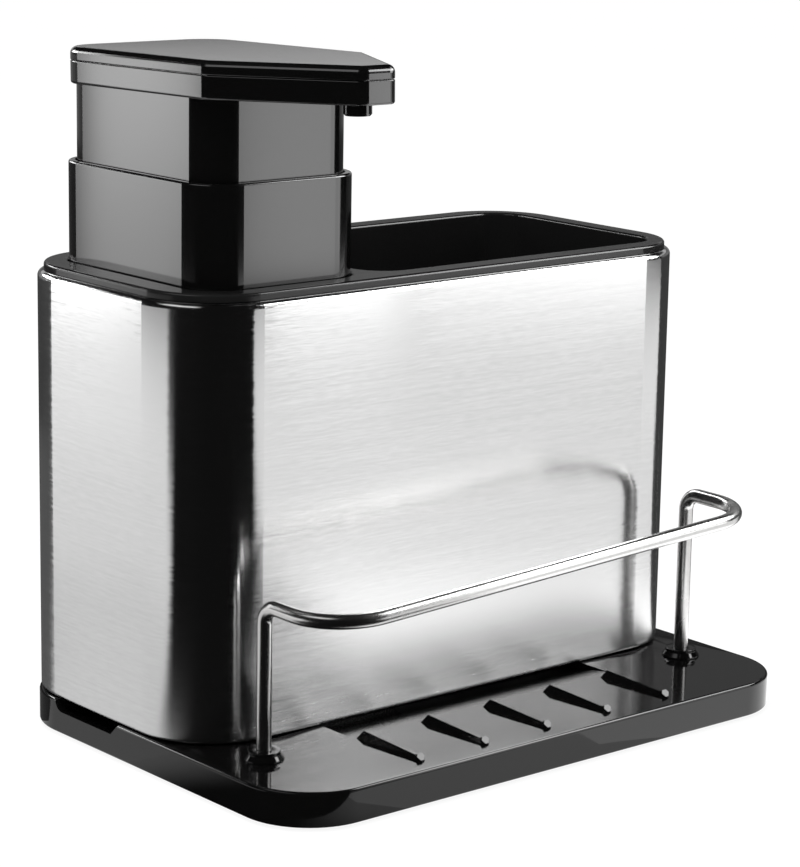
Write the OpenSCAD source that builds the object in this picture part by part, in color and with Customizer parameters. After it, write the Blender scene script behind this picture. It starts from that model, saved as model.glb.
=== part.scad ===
/* [Drip tray] */
// Depth of the shelf in front of the steel shell
shelf_reach = 45.6; // [44:0.2:70]
// Width of the tray beyond each end of the shell
tray_side_margin = 0.5; // [0.2:0.1:6]
// Depth of the tray behind the shell
tray_back_margin = 0.6; // [0.2:0.1:6]
// Height of the tray's outer wall
tray_height = 9.8; // [8.6:0.1:14]
// Radius of the two front corners, seen from above
tray_front_radius = 21; // [14:0.5:30]
// Thickness of the outer wall
tray_wall = 2.4; // [1.8:0.1:3.2]
// Thickness of the top plate
tray_plate = 2.6; // [2:0.1:3.2]
// Rounding of the top outer edge
tray_top_edge = 1; // [0.5:0.1:1.5]
// Rounding of the bottom outer edge
tray_bottom_edge = 0.6; // [0.5:0.1:1.7]
// Depth of the catch pan below the tray's top face
pan_depth = 3.5; // [2:0.1:4]
// Thickness of the pan's floor
pan_floor = 2.2; // [1.4:0.1:2.6]
// Height of the locating wall that stands up inside the liner
locator_height = 3; // [2:0.1:4]
// Thickness of the locating wall
locator_wall = 2; // [1.4:0.1:3]

/* [Shelf and drain] */
// Number of raised fins on the shelf
fin_count = 5; // [2:1:5]
// Distance between neighbouring fins
fin_pitch = 23.4; // [18:0.2:26]
// Length of a fin, front to back
fin_length = 21.4; // [12:0.2:24]
// Width of a fin's foot at its back end
fin_back_width = 5.6; // [3:0.1:7]
// Width of a fin's foot at its front end
fin_front_width = 2.6; // [1.5:0.1:3]
// Height of a fin at its back end
fin_back_height = 2.1; // [1:0.1:3]
// Height of a fin at its front end
fin_front_height = 1.1; // [0.6:0.1:2]
// Depth of the shallow trough behind the fins
trough_depth = 0.8; // [0.4:0.1:1.2]
// Width of the drain outlet in the tray's left end
outlet_width = 24.5; // [12:0.5:30]
// Depth of the drain outlet below the tray's top face
outlet_depth = 3.3; // [2:0.1:3.5]

/* [Feet] */
// Diameter of a rubber foot
foot_diameter = 14; // [10:0.5:16]
// Height by which a foot stands proud of the tray
foot_proud = 1; // [0.6:0.1:2]
// Depth of the recess that holds a foot
foot_recess = 1.2; // [0.8:0.1:2]

/* [Guard rail] */
// Diameter of the rail's wire
wire_diameter = 4.2; // [3:0.1:5]
// Distance from each end of the tray to the rail's posts
post_inset = 15.5; // [14:0.5:30]
// Distance from the shell forward to the posts
post_gap = 11.9; // [8:0.1:13]
// Height of the wire's centre at the top of the left post, above the ground
rail_height = 53.8; // [35:0.2:60]
// Height by which the right end stands above the left end
rail_rise = 7.8; // [0:0.2:10]
// Distance from the posts to the front run
rail_reach = 29.6; // [25:0.2:30]
// Bend radius at the top of each post
post_bend = 5; // [4:0.5:8]
// Bend radius at the two front corners
corner_bend = 17; // [8:0.5:19]

/* [Steel shell] */
// Height of the shell
shell_height = 122.2; // [100:0.2:150]
// Corner radius of the shell, seen from above
shell_radius = 23.5; // [18:0.5:28]
// Thickness of the steel sheet
sheet = 0.8; // [0.5:0.1:1]
// Outer radius of the curl along the top edge
top_curl = 1.8; // [1.2:0.1:2]
// Outer radius of the curl along the bottom edge
bottom_curl = 1.4; // [1.2:0.1:2]

/* [Liner] */
// Height of the rim above the steel shell
rim_height = 2.2; // [1.6:0.1:4]
// Rounding of the rim's outer top edge
rim_edge = 0.9; // [0.4:0.1:1]
// Thickness of the liner's walls
liner_wall = 1.8; // [1.2:0.1:2.2]
// Length of the brush and sponge well
well_length = 112.2; // [90:0.2:150]
// Depth of the well, front to back
well_depth = 72.2; // [60:0.2:100]
// Corner radius of the well
well_radius = 10.6; // [6:0.2:16]
// Width of the deck beyond the right end of the well
well_margin = 8.5; // [7:0.1:20]
// Width of the deck in front of the well and behind it
well_side = 9.1; // [7:0.1:16]
// Width of the deck between the well and the bottle
web = 3.6; // [3:0.1:20]

/* [Soap bottle] */
// Length of the bottle and of its collar
bottle_length = 55; // [50:0.2:70]
// Distance from the shell's front and back to the bottle
bottle_side = 8.2; // [7.6:0.1:10]
// Corner radius of the bottle and of its collar
bottle_radius = 11.9; // [10:0.1:14]
// Thickness of the bottle's wall
bottle_wall = 1.8; // [1.2:0.1:2.4]
// Distance from the shell's left end to the bottle
bottle_margin = 10.7; // [9.5:0.1:20]
// Height of the collar's top edge above the shell
collar_rise = 30.7; // [28:0.1:34]
// Thickness of the collar's wall
collar_wall = 1.8; // [1.4:0.1:2]

/* [Pump] */
// Travel of the pump head
stroke = 20; // [10:0.5:20]
// Gap between the collar and the head at rest
head_gap = 22; // [21.6:0.1:24]
// Wall of the skirt that slides in the collar
skirt_wall = 1.8; // [1.4:0.1:2.2]
// Running gap between the skirt and the collar
skirt_gap = 0.6; // [0.4:0.1:0.8]
// Width by which the head reaches past the skirt at each side
head_side_overhang = 2.4; // [0.4:0.05:3]
// Width by which the head reaches past the skirt at the back
head_back_overhang = 0.7; // [0.2:0.1:3]
// Distance from the pump's axis forward to the head's shoulders
head_shoulder = 35; // [30:0.1:38]
// Distance from the pump's axis forward to the tip of the spout
head_reach = 74; // [60:0.2:76]
// Width of the spout's tip
tip_width = 11; // [9:0.1:14]
// Height of the head's lower shell
head_height = 6.4; // [5.5:0.1:8]
// Height of the head's cap
cap_height = 3.7; // [2.6:0.05:5]
// Rounding of the cap's top edge
cap_edge = 2; // [1:0.1:2.2]
// Angle by which the head rises towards the spout's tip
spout_rise = 1; // [0:0.25:1.5]
// Outer diameter of the spout's nozzle
nozzle_diameter = 7.6; // [6:0.1:9]
// Distance from the tip back to the nozzle's axis
nozzle_setback = 9; // [8:0.1:12]
// Number of turns in the return spring
spring_turns = 8; // [5:1:10]

/* [Hidden] */
$fn = 64;
full_turn = 360;
quarter_turn = full_turn / 4;
// One overrun for every cut
over = 1;
// Gap between pieces that sit in one another without moving
seat_gap = 0.15;
// Gap between pieces that lift out of one another
lift_gap = 0.3;
// Running gap round the pump's sliding shafts
shaft_gap = 0.06;

// Overall sizes
shell_length = bottle_margin + bottle_length + web + well_length + well_margin;
shell_depth = well_depth + 2 * well_side;
tray_length = shell_length + 2 * tray_side_margin;
tray_depth = shelf_reach + shell_depth + tray_back_margin;
tray_back_radius = shell_radius + tray_side_margin;
bottle_depth = shell_depth - 2 * bottle_side;

// Heights, from the ground up
tray_bottom = foot_proud;
tray_top = tray_bottom + tray_height;
plate_bottom = tray_top - tray_plate;
pan_top = tray_top - pan_depth;
pan_bottom = pan_top - pan_floor;
shell_bottom = tray_top + lift_gap;
shell_top = shell_bottom + shell_height;
rim_bottom = shell_top + seat_gap;
rim_top = rim_bottom + rim_height;
collar_top = shell_top + collar_rise;
head_bottom = collar_top + head_gap;
cap_bottom = head_bottom + head_height + seat_gap;

// Places on the tray
shell_y = tray_depth / 2 - tray_back_margin - shell_depth / 2;
shell_front = shell_y - shell_depth / 2;
pump_x = bottle_margin + bottle_length / 2 - shell_length / 2;
pump_y = shell_y;
well_x = shell_length / 2 - well_margin - well_length / 2;

// Liner and locating wall, measured inward from the shell's outline
lip_flat = 0.3;
lip_reach = top_curl + lip_flat;
liner_inset = lip_reach + lift_gap;
rim_inset = lip_reach - lift_gap;
foot_lip_reach = liner_inset + liner_wall / 2;
locator_inset = liner_inset + liner_wall + lift_gap;
pan_inset = locator_inset + locator_wall;
liner_bottom = shell_bottom + sheet + seat_gap;
tub_bottom = tray_top + locator_height + 2 * lift_gap;
tub_floor = 2;
tub_floor_top = tub_bottom + tub_floor;
tub_edge = 0.8;
bay_gap = 0.4;
drain_slot_width = 3;
drain_slot_length = 16;
drain_slot_rows = 2;
drain_slot_columns = 6;

// Shelf
fin_setback = 13.8;
fin_back_y = shell_front - fin_setback;
fin_top_back_width = 1.5;
fin_top_front_width = 1;
fin_end_slope = 0.9;
trough_end = 3.2;
trough_half = fin_pitch * (fin_count - 1) / 2 + trough_end;
trough_window = 14;
trough_window_count = 3;
outlet_shift = 5.3;
outlet_y = shell_y + outlet_shift;
channel_side = 2;
channel_width = outlet_width + 2 * (outlet_depth + channel_side);
foot_boss_wall = 1.6;
foot_side_inset = 16;
foot_front_inset = 12.5;
foot_back_inset = 18;
foot_fit = 0.1;
foot_edge = 0.4;
rib_width = 1.5;
shelf_rib_count = 6;
pan_rib_count = 3;
rib_ground_gap = 2;

// Rail
wire_radius = wire_diameter / 2;
rail_span = tray_length - 2 * post_inset;
rail_y = shell_front - post_gap;
rail_tilt = atan(rail_rise / rail_span);
post_tail = 3;
post_foot = plate_bottom - post_tail;
ferrule_height = 2.6;
ferrule_top_wall = 2.5;
ferrule_foot_wall = 3.5;
ferrule_stem_wall = 1.6;
ferrule_top_radius = wire_radius + ferrule_top_wall;
ferrule_foot_radius = wire_radius + ferrule_foot_wall;
ferrule_foot_height = 0.4;
ferrule_top_height = 0.9;
ferrule_stem_radius = wire_radius + ferrule_stem_wall;
ferrule_lip = 0.5;
ferrule_lip_height = 1;
ferrule_edge = 0.4;

// Bottle
bottle_bottom = tub_floor_top + lift_gap;
collar_sink = 1.6;
bottle_top = rim_top - collar_sink;
bottle_edge = 3;
collar_floor = 2;
collar_edge = 0.7;
neck_radius = 16.5;
neck_wall = 3;
neck_bore = neck_radius - neck_wall;
neck_height = 14;
neck_top = bottle_top + neck_height;

// Pump, from the neck up and from the neck down
gasket = 0.8;
flange_step = 0.5;
flange_radius = neck_radius - flange_step;
flange_height = 1.6;
flange_top = neck_top + gasket + flange_height;
ring_wall = 2;
ring_plate = 1.8;
ring_bottom = bottle_top + collar_floor + seat_gap;
ring_top = flange_top + ring_plate;
ring_radius = neck_radius + seat_gap + ring_wall;
ring_grip_count = 12;
ring_grip_radius = 1;
guide_flange_radius = 10;
guide_flange_height = 3.2;
guide_spigot = 5.4;
guide_bottom = flange_top - guide_spigot;
barrel_bore = 6.2;
barrel_wall = 1.3;
barrel_radius = barrel_bore + barrel_wall;
chamber_bore = 3.5;
chamber_wall = 1.5;
chamber_radius = chamber_bore + chamber_wall;
passage_bore = 1.75;
stem_radius = 4;
stem_bore = 2.6;
rod_radius = 2.5;
rod_bore = 1.2;
rod_grip = 8;
rod_flange_radius = 5.6;
rod_flange_height = 1.6;
rod_port_radius = 1;
seal_height = 7;
seal_lip = 1.2;
seal_top = guide_bottom - lift_gap;
seal_bottom = seal_top - seal_height;
port_space = 2.6;
rod_flange_top = seal_bottom - port_space;
rod_bottom = rod_flange_top - rod_flange_height;
spring_squeeze = 18;
spring_wire = 1;
spring_rings = 12;
spring_sides = 6;
spring_step = 1.4;
spring_radius = rod_flange_radius - spring_step;
spring_top = rod_bottom;
ledge = spring_top - stroke - spring_squeeze;
chamber_height = 6;
cone_height = chamber_bore - passage_bore;
passage_height = 2;
socket_height = 8;
cone_bottom = ledge - chamber_height - cone_height;
socket_top = cone_bottom - passage_height;
socket_bottom = socket_top - socket_height;
ball_radius = 2.5;
ball_z = cone_bottom - passage_bore + (ball_radius + shaft_gap) * sqrt(2);
tube_bore = 2;
tube_wall = 1;
tube_radius = tube_bore + tube_wall;
tube_end_gap = 2.5;

// Head
skirt_inset = collar_wall + skirt_gap;
skirt_overlap = 6.5;
skirt_bottom = collar_top - skirt_overlap;
skirt_top_wall = 1.8;
skirt_edge = 0.6;
skirt_slant = bottle_depth / 2 * tan(spout_rise);
head_width = bottle_length - 2 * skirt_inset + 2 * head_side_overhang;
head_back = bottle_depth / 2 - skirt_inset + head_back_overhang;
shoulder_radius = 4;
back_radius = 11.5;
tip_radius = 3.3;
head_wall = 1.6;
head_floor = 1.8;
head_bottom_edge = 0.8;
seam_edge = 0.3;
head_facets = 48;
blend_facets = 24;
cap_plate = 1.8;
cap_lip = 1.6;
cap_lip_wall = 1.2;
duct_width = 7;
duct_bore = 1.5;
duct_top = cap_bottom - seat_gap;
duct_bottom = head_bottom + head_floor + seat_gap;
socket_wall = 2;
socket_radius = stem_radius + socket_wall;
socket_depth = 8;
socket_foot = head_bottom - socket_depth;
stem_top = duct_bottom;
nozzle_drop = 3.3;
nozzle_bore = 1.6;
nozzle_edge = 0.5;
nozzle_neck_radius = 2.6;
nozzle_y = nozzle_setback - head_reach;

// Outlines, run anticlockwise from the front right corner
function rectangle(length, depth) = [[length / 2, -depth / 2], [length / 2, depth / 2],
                                     [-length / 2, depth / 2], [-length / 2, -depth / 2]];
function alike(radius) = [radius, radius, radius, radius];
tray_outline = rectangle(tray_length, tray_depth);
tray_radii = [tray_front_radius, tray_back_radius, tray_back_radius, tray_front_radius];
shell_outline = rectangle(shell_length, shell_depth);
well_outline = rectangle(well_length, well_depth);
bottle_outline = rectangle(bottle_length, bottle_depth);
bay_outline = rectangle(bottle_length + 2 * bay_gap, bottle_depth + 2 * bay_gap);
head_outline = [[tip_width / 2, -head_reach], [head_width / 2, -head_shoulder],
                [head_width / 2, head_back], [-head_width / 2, head_back],
                [-head_width / 2, -head_shoulder], [-tip_width / 2, -head_reach]];
head_radii = [tip_radius, shoulder_radius, back_radius, back_radius, shoulder_radius, tip_radius];

// An outline's edges: edge i runs from corner i to the next one
function before(points, i) = (i + len(points) - 1) % len(points);
function after(points, i) = (i + 1) % len(points);
function edge(points, i) = points[after(points, i)] - points[i];
function way(points, i) = edge(points, i) / norm(edge(points, i));
function heading(points, i) = let (w = way(points, i)) atan2(w[1], w[0]);
function outward(points, i) = let (w = way(points, i)) [w[1], -w[0]];
// An outline's corners: the angle turned, and the arc that rounds it
function turned(points, i) =
  (heading(points, i) - heading(points, before(points, i)) + full_turn) % full_turn;
function setback(points, radii, i) = radii[i] * tan(turned(points, i) / 2);
function run_start(points, radii, i) = points[i] + way(points, i) * setback(points, radii, i);
function run_end(points, radii, i) =
  points[after(points, i)] - way(points, i) * setback(points, radii, after(points, i));
function arc_centre(points, radii, i) =
  run_start(points, radii, i) - outward(points, i) * radii[i];

// Carries a profile round an outline. The profile's x runs outward from the outline, its y up.
module carry_round(points, radii) {
  for (i = [0 : len(points) - 1]) {
    translate(run_end(points, radii, i))
      rotate(heading(points, i) - quarter_turn)
        rotate([quarter_turn, 0, 0])
          linear_extrude(norm(run_end(points, radii, i) - run_start(points, radii, i)))
            children();
    translate(arc_centre(points, radii, i))
      rotate(heading(points, before(points, i)) - quarter_turn)
        rotate_extrude(angle = turned(points, i))
          translate([radii[i], 0])
            children();
  }
}

// Block with straight sides, drawn in from an outline by inset
module slab(points, radii, height, inset = 0) {
  linear_extrude(height)
    polygon([for (i = [0 : len(points) - 1]) each
             [arc_centre(points, radii, i) + (radii[i] - inset) * outward(points, before(points, i)),
              arc_centre(points, radii, i) + (radii[i] - inset) * outward(points, i)]]);
  for (i = [0 : len(points) - 1])
    translate(arc_centre(points, radii, i))
      cylinder(h = height, r = radii[i] - inset);
}

// Quarter of a disc or of a ring, in the quadrant that starts at the given angle
module quarter_disc(radius, start) {
  intersection() {
    circle(radius);
    rotate(start) square(radius);
  }
}

module quarter_ring(outer, inner, start) {
  intersection() {
    difference() {
      circle(outer);
      circle(inner);
    }
    rotate(start) square(outer);
  }
}

// Upright strip from one radius to another, with its outer corners rounded
module edge_strip(inner, outer, height, bottom_edge, top_edge) {
  translate([inner, bottom_edge]) square([outer - inner, height - bottom_edge - top_edge]);
  if (bottom_edge > 0) {
    translate([outer - bottom_edge, bottom_edge]) quarter_disc(bottom_edge, -quarter_turn);
    if (outer - inner > bottom_edge)
      translate([inner, 0]) square([outer - inner - bottom_edge, bottom_edge]);
  }
  if (top_edge > 0) {
    translate([outer - top_edge, height - top_edge]) quarter_disc(top_edge, 0);
    if (outer - inner > top_edge)
      translate([inner, height - top_edge]) square([outer - inner - top_edge, top_edge]);
  }
}

// Solid block on an outline, with its bottom and top edges rounded
module block(points, radii, height, bottom_edge, top_edge) {
  depth = max(bottom_edge, top_edge);
  slab(points, radii, height, depth);
  carry_round(points, radii) edge_strip(-depth - over, 0, height, bottom_edge, top_edge);
}

// Upright wall on the outside of an outline, its inner top edge rounded
module opening_wall(points, radii, bottom, top, wall, top_edge) {
  carry_round(points, radii) {
    translate([0, bottom]) square([wall, top - top_edge - bottom]);
    translate([top_edge, top - top_edge]) square([wall - top_edge, top_edge]);
    translate([top_edge, top - top_edge]) quarter_disc(top_edge, quarter_turn);
  }
}

function spread(count, pitch) = [for (i = [0 : count - 1]) (i - (count - 1) / 2) * pitch];

module at_posts() {
  for (side = [-1, 1])
    translate([side * rail_span / 2, rail_y, 0])
      children();
}

module at_feet() {
  for (side = [-1, 1])
    for (y = [foot_front_inset - tray_depth / 2, tray_depth / 2 - foot_back_inset])
      translate([side * (tray_length / 2 - foot_side_inset), y, 0])
        children();
}

module at_pump() {
  translate([pump_x, pump_y, 0]) children();
}

// One fin of the shelf: a narrow wedge, highest and widest at its back end
module fin() {
  back = [fin_back_width / 2, fin_top_back_width / 2];
  front = [fin_front_width / 2, fin_top_front_width / 2];
  low = tray_top - trough_depth / 2;
  polyhedron(
    points = [[-back[0], 0, low], [back[0], 0, low],
              [front[0], -fin_length, low], [-front[0], -fin_length, low],
              [-back[1], -fin_end_slope, tray_top + fin_back_height],
              [back[1], -fin_end_slope, tray_top + fin_back_height],
              [front[1], fin_end_slope - fin_length, tray_top + fin_front_height],
              [-front[1], fin_end_slope - fin_length, tray_top + fin_front_height]],
    faces = [[0, 2, 1], [0, 3, 2], [4, 6, 7], [4, 5, 6], [0, 5, 4], [0, 1, 5],
             [1, 6, 5], [1, 2, 6], [2, 7, 6], [2, 3, 7], [3, 4, 7], [3, 0, 4]]);
}

// Outlet's opening seen from the left end: slanted at the front, rounded at the back
module outlet_shape() {
  half = outlet_width / 2;
  top = outlet_depth + over;
  polygon([[-half, 0], [half, 0], [half, top], [-half - outlet_depth, top],
           [-half - outlet_depth, outlet_depth]]);
  translate([half, outlet_depth]) quarter_disc(outlet_depth, -quarter_turn);
  translate([half, outlet_depth]) square([outlet_depth, over]);
}

module outlet_cut() {
  translate([-tray_length / 2 - over, outlet_y, tray_top - outlet_depth])
    rotate([quarter_turn, 0, quarter_turn])
      linear_extrude((tray_length - shell_length) / 2 + pan_inset + 2 * over)
        outlet_shape();
}

module tray_shell() {
  difference() {
    translate([0, 0, tray_bottom])
      block(tray_outline, tray_radii, tray_height, tray_bottom_edge, tray_top_edge);
    translate([0, 0, tray_bottom - over])
      slab(tray_outline, tray_radii, plate_bottom - tray_bottom + over, tray_wall);
  }
}

module tray_ribs() {
  rib_bottom = tray_bottom + rib_ground_gap;
  front = -tray_depth / 2 + tray_wall;
  for (x = spread(shelf_rib_count, tray_length / (shelf_rib_count + 1)))
    translate([x - rib_width / 2, front, rib_bottom])
      cube([rib_width, shell_front + locator_inset - front, plate_bottom - rib_bottom]);
  for (y = spread(pan_rib_count, shell_depth / (pan_rib_count + 1)))
    translate([locator_inset - shell_length / 2, shell_y + y - rib_width / 2, rib_bottom])
      cube([shell_length - 2 * locator_inset, rib_width, pan_bottom - rib_bottom]);
}

module base_tray() {
  color([0.10, 0.10, 0.11])
    difference() {
      union() {
        tray_shell();
        translate([0, shell_y, pan_bottom])
          slab(shell_outline, alike(shell_radius), tray_top + locator_height - pan_bottom, locator_inset);
        translate([(tray_wall - tray_length) / 2, outlet_y - channel_width / 2, pan_bottom])
          cube([pan_inset, channel_width, plate_bottom - pan_bottom + tray_plate / 2]);
        for (x = spread(fin_count, fin_pitch))
          translate([x, fin_back_y, 0]) fin();
        at_feet()
          translate([0, 0, tray_bottom])
            cylinder(h = plate_bottom - tray_bottom, r = foot_diameter / 2 + foot_fit + foot_boss_wall);
        tray_ribs();
      }
      translate([0, shell_y, pan_top])
        slab(shell_outline, alike(shell_radius), pan_depth + locator_height + over, pan_inset);
      translate([-trough_half, fin_back_y, tray_top - trough_depth])
        cube([2 * trough_half, shell_front + locator_inset - fin_back_y, trough_depth + over]);
      for (x = spread(trough_window_count, 2 * trough_half / trough_window_count))
        translate([x - trough_window / 2, shell_front, tray_top - trough_depth])
          cube([trough_window, pan_inset + over, trough_depth + locator_height + over]);
      outlet_cut();
      at_posts()
        translate([0, 0, plate_bottom - over])
          cylinder(h = tray_plate + 2 * over, r = ferrule_stem_radius + shaft_gap);
      at_feet()
        translate([0, 0, tray_bottom - over])
          cylinder(h = foot_recess + over, r = foot_diameter / 2 + foot_fit);
    }
}

module tray_feet() {
  color([0.16, 0.16, 0.17])
    at_feet()
      rotate_extrude() {
        translate([0, foot_edge]) square([foot_diameter / 2, foot_proud + foot_recess - foot_edge]);
        square([foot_diameter / 2 - foot_edge, foot_edge]);
        translate([foot_diameter / 2 - foot_edge, foot_edge]) quarter_disc(foot_edge, -quarter_turn);
      }
}

// Straight piece of the rail's wire along x, and a quarter bend in the xy plane
module wire_run(length) {
  rotate([0, quarter_turn, 0]) cylinder(h = length, r = wire_radius);
}

module wire_bend(radius) {
  rotate_extrude(angle = quarter_turn)
    translate([radius, 0])
      circle(wire_radius);
}

// Post with the bend at its top, measured from the point where the two straight lines meet
module rail_post(height) {
  translate([0, -post_bend, -post_bend]) rotate([0, -quarter_turn, 0]) wire_bend(post_bend);
  translate([0, 0, -post_bend]) rotate([0, quarter_turn, 0]) wire_run(height - post_bend);
}

module guard_rail() {
  loop_span = rail_span / cos(rail_tilt);
  color([0.80, 0.81, 0.82])
    translate([-rail_span / 2, rail_y, rail_height])
      rotate([0, -rail_tilt, 0]) {
        translate([corner_bend, -rail_reach, 0]) wire_run(loop_span - 2 * corner_bend);
        for (side = [0, 1])
          translate([side * loop_span, 0, 0]) mirror([side, 0, 0]) {
            translate([corner_bend, corner_bend - rail_reach, 0])
              rotate(2 * quarter_turn) wire_bend(corner_bend);
            translate([0, corner_bend - rail_reach, 0])
              rotate(quarter_turn) wire_run(rail_reach - corner_bend - post_bend);
            mirror([side, 0, 0])
              rotate([0, rail_tilt, 0]) rail_post(rail_height + side * rail_rise - post_foot);
          }
      }
}

module rail_ferrules() {
  bore = wire_radius + shaft_gap;
  top = tray_top + ferrule_height;
  lip_bottom = plate_bottom - ferrule_lip_height;
  color([0.07, 0.07, 0.08])
    at_posts()
      rotate_extrude()
        polygon([[bore, lip_bottom], [ferrule_stem_radius + ferrule_lip, lip_bottom],
                 [ferrule_stem_radius + ferrule_lip, plate_bottom], [ferrule_stem_radius, plate_bottom],
                 [ferrule_stem_radius, tray_top], [ferrule_foot_radius, tray_top],
                 [ferrule_foot_radius, tray_top + ferrule_foot_height],
                 [ferrule_top_radius, top - ferrule_top_height], [ferrule_top_radius, top - ferrule_edge],
                 [ferrule_top_radius - ferrule_edge, top], [bore, top]]);
}

// Section of the bent steel sheet, curled inward at the bottom and at the top
module shell_section() {
  translate([-sheet, bottom_curl]) square([sheet, shell_height - bottom_curl - top_curl]);
  translate([-bottom_curl, bottom_curl]) quarter_ring(bottom_curl, bottom_curl - sheet, -quarter_turn);
  translate([-foot_lip_reach, 0]) square([foot_lip_reach - bottom_curl, sheet]);
  translate([-top_curl, shell_height - top_curl]) quarter_ring(top_curl, top_curl - sheet, 0);
  translate([-lip_reach, shell_height - sheet]) square([lip_reach - top_curl, sheet]);
}

module steel_shell() {
  color([0.78, 0.79, 0.80])
    translate([0, shell_y, shell_bottom])
      carry_round(shell_outline, alike(shell_radius)) shell_section();
}

module drain_slots() {
  for (x = spread(drain_slot_columns, well_length / (drain_slot_columns + 1)))
    for (y = spread(drain_slot_rows, well_depth / (drain_slot_rows + 1)))
      translate([well_x + x - drain_slot_width / 2, shell_y + y - drain_slot_length / 2, tub_bottom - over])
        cube([drain_slot_width, drain_slot_length, tub_floor + 2 * over]);
}

module caddy_liner() {
  bay_radii = alike(bottle_radius + bay_gap);
  well_radii = alike(well_radius);
  rim_outline = rectangle(shell_length - 2 * rim_inset, shell_depth - 2 * rim_inset);
  color([0.12, 0.12, 0.13])
    difference() {
      union() {
        translate([0, shell_y, 0])
          carry_round(shell_outline, alike(shell_radius))
            translate([-liner_inset - liner_wall, liner_bottom])
              square([liner_wall, rim_bottom - liner_bottom]);
        difference() {
          translate([0, shell_y, rim_bottom])
            block(rim_outline, alike(shell_radius - rim_inset), rim_height, 0, rim_edge);
          translate([well_x, shell_y, rim_bottom - over])
            slab(well_outline, well_radii, rim_height + 2 * over, -liner_wall / 2);
          translate([pump_x, pump_y, rim_bottom - over])
            slab(bay_outline, bay_radii, rim_height + 2 * over, -liner_wall / 2);
        }
        translate([well_x, shell_y, 0]) {
          opening_wall(well_outline, well_radii, tub_bottom, rim_top, liner_wall, tub_edge);
          translate([0, 0, tub_bottom]) slab(well_outline, well_radii, tub_floor);
        }
        translate([pump_x, pump_y, 0]) {
          opening_wall(bay_outline, bay_radii, tub_bottom, rim_top, liner_wall, tub_edge);
          translate([0, 0, tub_bottom]) slab(bay_outline, bay_radii, tub_floor);
        }
      }
      drain_slots();
    }
}

module soap_bottle() {
  radii = alike(bottle_radius);
  color([0.20, 0.20, 0.22])
    at_pump()
      difference() {
        union() {
          translate([0, 0, bottle_bottom])
            block(bottle_outline, radii, bottle_top - bottle_bottom, bottle_edge, bottle_wall / 2);
          translate([0, 0, bottle_top]) cylinder(h = neck_top - bottle_top, r = neck_radius);
        }
        translate([0, 0, bottle_bottom + bottle_wall])
          slab(bottle_outline, radii, bottle_top - bottle_bottom - 2 * bottle_wall, bottle_wall);
        translate([0, 0, bottle_top - bottle_wall - over])
          cylinder(h = neck_top - bottle_top + bottle_wall + 2 * over, r = neck_bore);
      }
}

module bottle_collar() {
  radii = alike(bottle_radius);
  height = collar_top - bottle_top;
  color([0.11, 0.11, 0.12])
    at_pump()
      difference() {
        translate([0, 0, bottle_top])
          block(bottle_outline, radii, height, 0, collar_edge);
        translate([0, 0, bottle_top + collar_floor])
          slab(bottle_outline, radii, height, collar_wall);
        translate([0, 0, bottle_top - over])
          cylinder(h = collar_floor + 2 * over, r = neck_radius + seat_gap);
      }
}

module closure_ring() {
  color([0.15, 0.15, 0.16])
    at_pump()
      difference() {
        union() {
          translate([0, 0, ring_bottom]) cylinder(h = ring_top - ring_bottom, r = ring_radius);
          for (i = [0 : ring_grip_count - 1])
            rotate(i * full_turn / ring_grip_count)
              translate([ring_radius, 0, ring_bottom])
                cylinder(h = ring_top - ring_bottom - ring_plate, r = ring_grip_radius);
        }
        translate([0, 0, ring_bottom - over])
          cylinder(h = flange_top - ring_bottom + over, r = neck_radius + seat_gap);
        translate([0, 0, flange_top - over])
          cylinder(h = ring_plate + 2 * over, r = guide_flange_radius + seat_gap);
      }
}

module closure_gasket() {
  color([0.55, 0.55, 0.56])
    at_pump()
      translate([0, 0, neck_top])
        difference() {
          cylinder(h = gasket, r = flange_radius);
          translate([0, 0, -over]) cylinder(h = gasket + 2 * over, r = barrel_radius + seat_gap);
        }
}

module pump_cylinder() {
  color([0.86, 0.86, 0.84])
    at_pump()
      rotate_extrude()
        polygon([[tube_radius + shaft_gap, socket_bottom], [chamber_radius, socket_bottom],
                 [chamber_radius, ledge - barrel_radius + chamber_radius], [barrel_radius, ledge],
                 [barrel_radius, neck_top + gasket], [flange_radius, neck_top + gasket],
                 [flange_radius, flange_top], [barrel_bore, flange_top],
                 [barrel_bore, ledge + over], [chamber_bore, ledge + over],
                 [chamber_bore, cone_bottom + cone_height], [passage_bore, cone_bottom],
                 [passage_bore, socket_top], [tube_radius + shaft_gap, socket_top]]);
}

module stem_guide() {
  color([0.90, 0.90, 0.88])
    at_pump()
      difference() {
        union() {
          translate([0, 0, guide_bottom]) cylinder(h = guide_spigot, r = barrel_bore - shaft_gap);
          translate([0, 0, flange_top]) cylinder(h = guide_flange_height, r = guide_flange_radius);
        }
        translate([0, 0, guide_bottom - over])
          cylinder(h = guide_spigot + guide_flange_height + 2 * over, r = stem_radius + shaft_gap);
      }
}

module dip_tube() {
  tube_bottom = bottle_bottom + bottle_wall + tube_end_gap;
  color([0.88, 0.90, 0.90])
    at_pump()
      translate([0, 0, tube_bottom])
        difference() {
          cylinder(h = socket_top - tube_bottom, r = tube_radius);
          translate([0, 0, -over]) cylinder(h = socket_top - tube_bottom + 2 * over, r = tube_bore);
        }
}

module inlet_ball() {
  color([0.75, 0.76, 0.78])
    at_pump()
      translate([0, 0, ball_z])
        sphere(ball_radius);
}

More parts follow.
